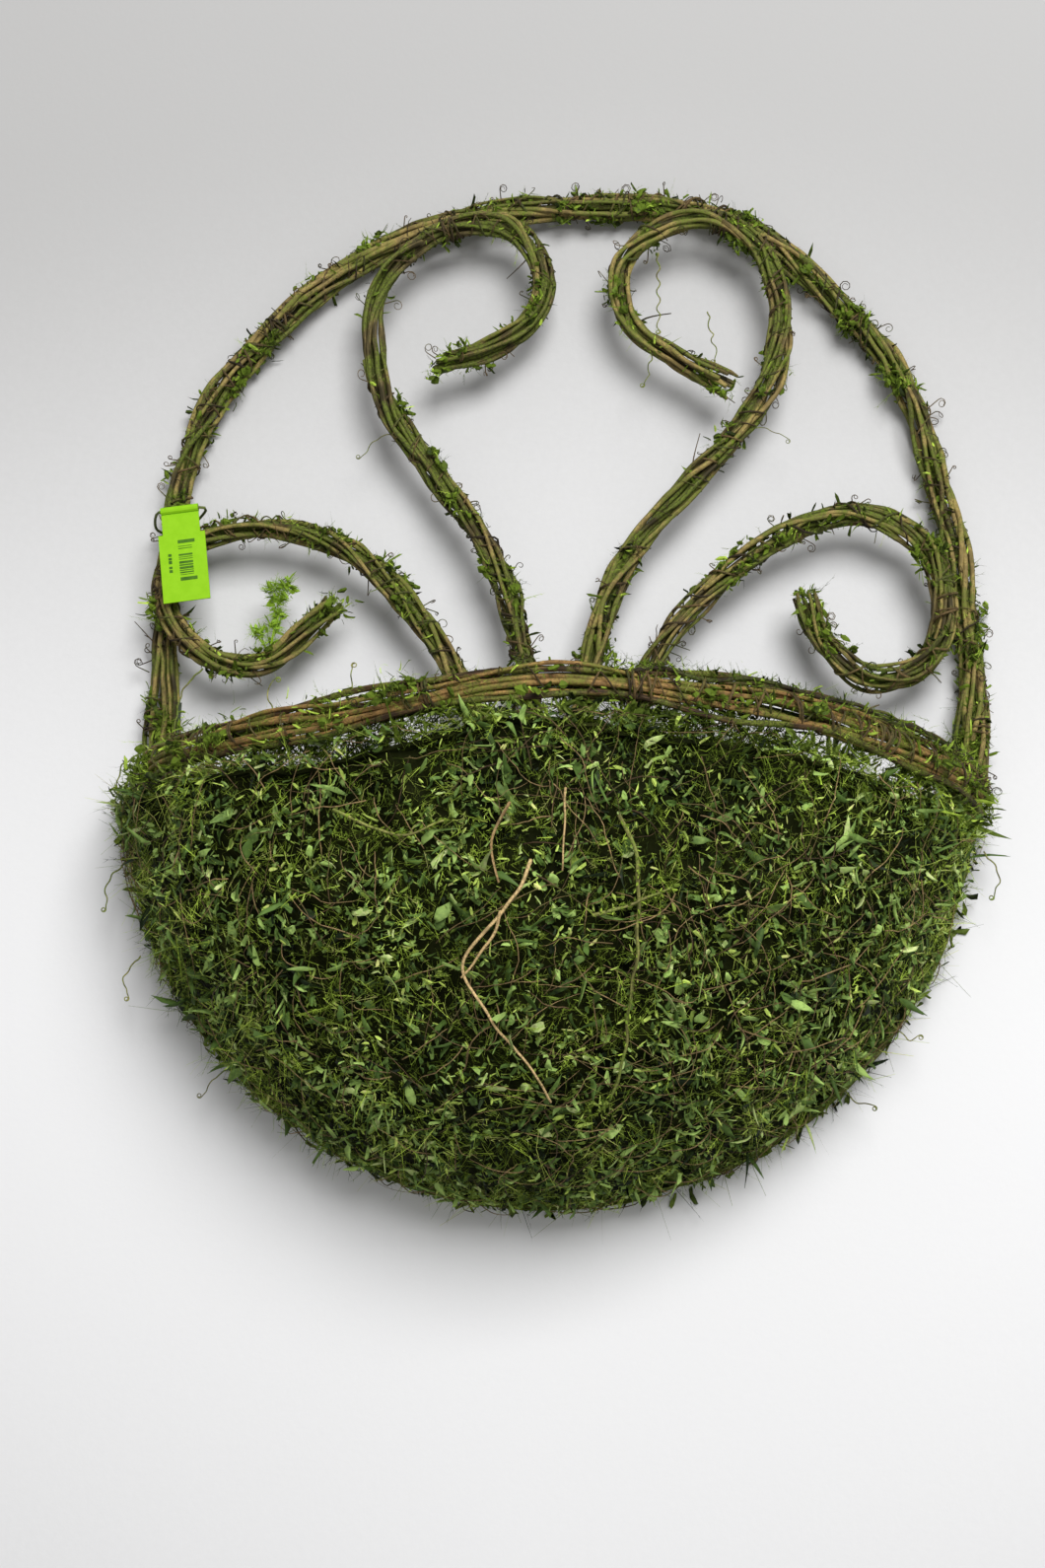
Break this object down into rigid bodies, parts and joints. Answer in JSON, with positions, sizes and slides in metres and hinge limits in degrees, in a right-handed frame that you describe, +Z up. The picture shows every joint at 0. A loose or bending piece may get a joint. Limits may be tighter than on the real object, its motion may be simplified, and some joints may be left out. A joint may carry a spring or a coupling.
{
  "type": "hanging basket",
  "caption": "Half-round wall basket: a mossy bowl on a wire frame, a bound grapevine rim, and a tall grapevine arch with curled scrolls that it hangs by.",
  "frame": {"origin": "the underside of the arch, midway between its feet, in the arch's middle plane: where the wall hook carries it", "axes": "+Z up, +X to the right as a person facing the wall sees it, +Y into the wall"},
  "size_m": [0.463, 0.2045, 0.5649],
  "materials": {
    "grapevine": "weathered olive-brown vine bark, matt, with tan and green patches",
    "rim_grapevine": "reddish-brown vine bark, satin where it is rubbed",
    "binding_vine": "dark thin tendril bark, matt",
    "frame_wire": "dark green enamel, worn at the crossings",
    "moss": "dry sheet moss, a rough mix of leafy greens, yellow-green and brown fibres",
    "tag_tie": "green coated tie wire, satin",
    "tag_card": "bright lime green coated card, satin"
  },
  "bodies": {
    "basket": {"arch_cane_1": "grapevine", "arch_cane_2": "grapevine", "arch_cane_3": "grapevine", "arch_cane_4": "grapevine", "arch_cane_5": "grapevine", "arch_tie_left": "binding_vine", "arch_tie_top": "binding_vine", "arch_tie_right": "binding_vine", "scroll_outer_left_cane_1": "grapevine", "scroll_outer_left_cane_2": "grapevine", "scroll_outer_left_cane_3": "grapevine", "scroll_inner_left_cane_1": "grapevine", "scroll_inner_left_cane_2": "grapevine", "scroll_inner_left_cane_3": "grapevine", "scroll_inner_right_cane_1": "grapevine", "scroll_inner_right_cane_2": "grapevine", "scroll_inner_right_cane_3": "grapevine", "scroll_outer_right_cane_1": "grapevine", "scroll_outer_right_cane_2": "grapevine", "scroll_outer_right_cane_3": "grapevine", "scroll_tie_outer_left": "binding_vine", "scroll_tie_inner_left": "binding_vine", "scroll_tie_inner_right": "binding_vine", "scroll_tie_outer_right": "binding_vine", "foot_tie_outer_left": "binding_vine", "foot_tie_inner_left": "binding_vine", "foot_tie_inner_right": "binding_vine", "foot_tie_outer_right": "binding_vine", "rim_cane_1": "rim_grapevine", "rim_cane_2": "rim_grapevine", "rim_cane_3": "rim_grapevine", "rim_cane_4": "rim_grapevine", "rim_cane_5": "rim_grapevine", "rim_tie_1": "binding_vine", "rim_tie_2": "binding_vine", "rim_tie_3": "binding_vine", "rim_tie_4": "binding_vine", "arch_foot_lash_left": "binding_vine", "arch_foot_lash_right": "binding_vine", "rim_ring_wire": "frame_wire", "back_wire": "frame_wire", "rib_wire_1": "frame_wire", "rib_wire_2": "frame_wire", "rib_wire_3": "frame_wire", "rib_wire_4": "frame_wire", "rib_wire_5": "frame_wire", "hoop_wire_1": "frame_wire", "hoop_wire_2": "frame_wire", "moss_front_mat": "moss", "moss_back_mat": "moss", "tag_twist_tie": "tag_tie"},
    "tag": {"price_tag": "tag_card"}
  },
  "joints": [
    {"name": "tag_swing", "type": "hinge", "parent": "basket", "child": "tag", "pos_m": [-0.2097, -0.0276, -0.1835], "axis": [-0.9877, 0, -0.1564], "range_deg": [0, 80]}
  ]
}
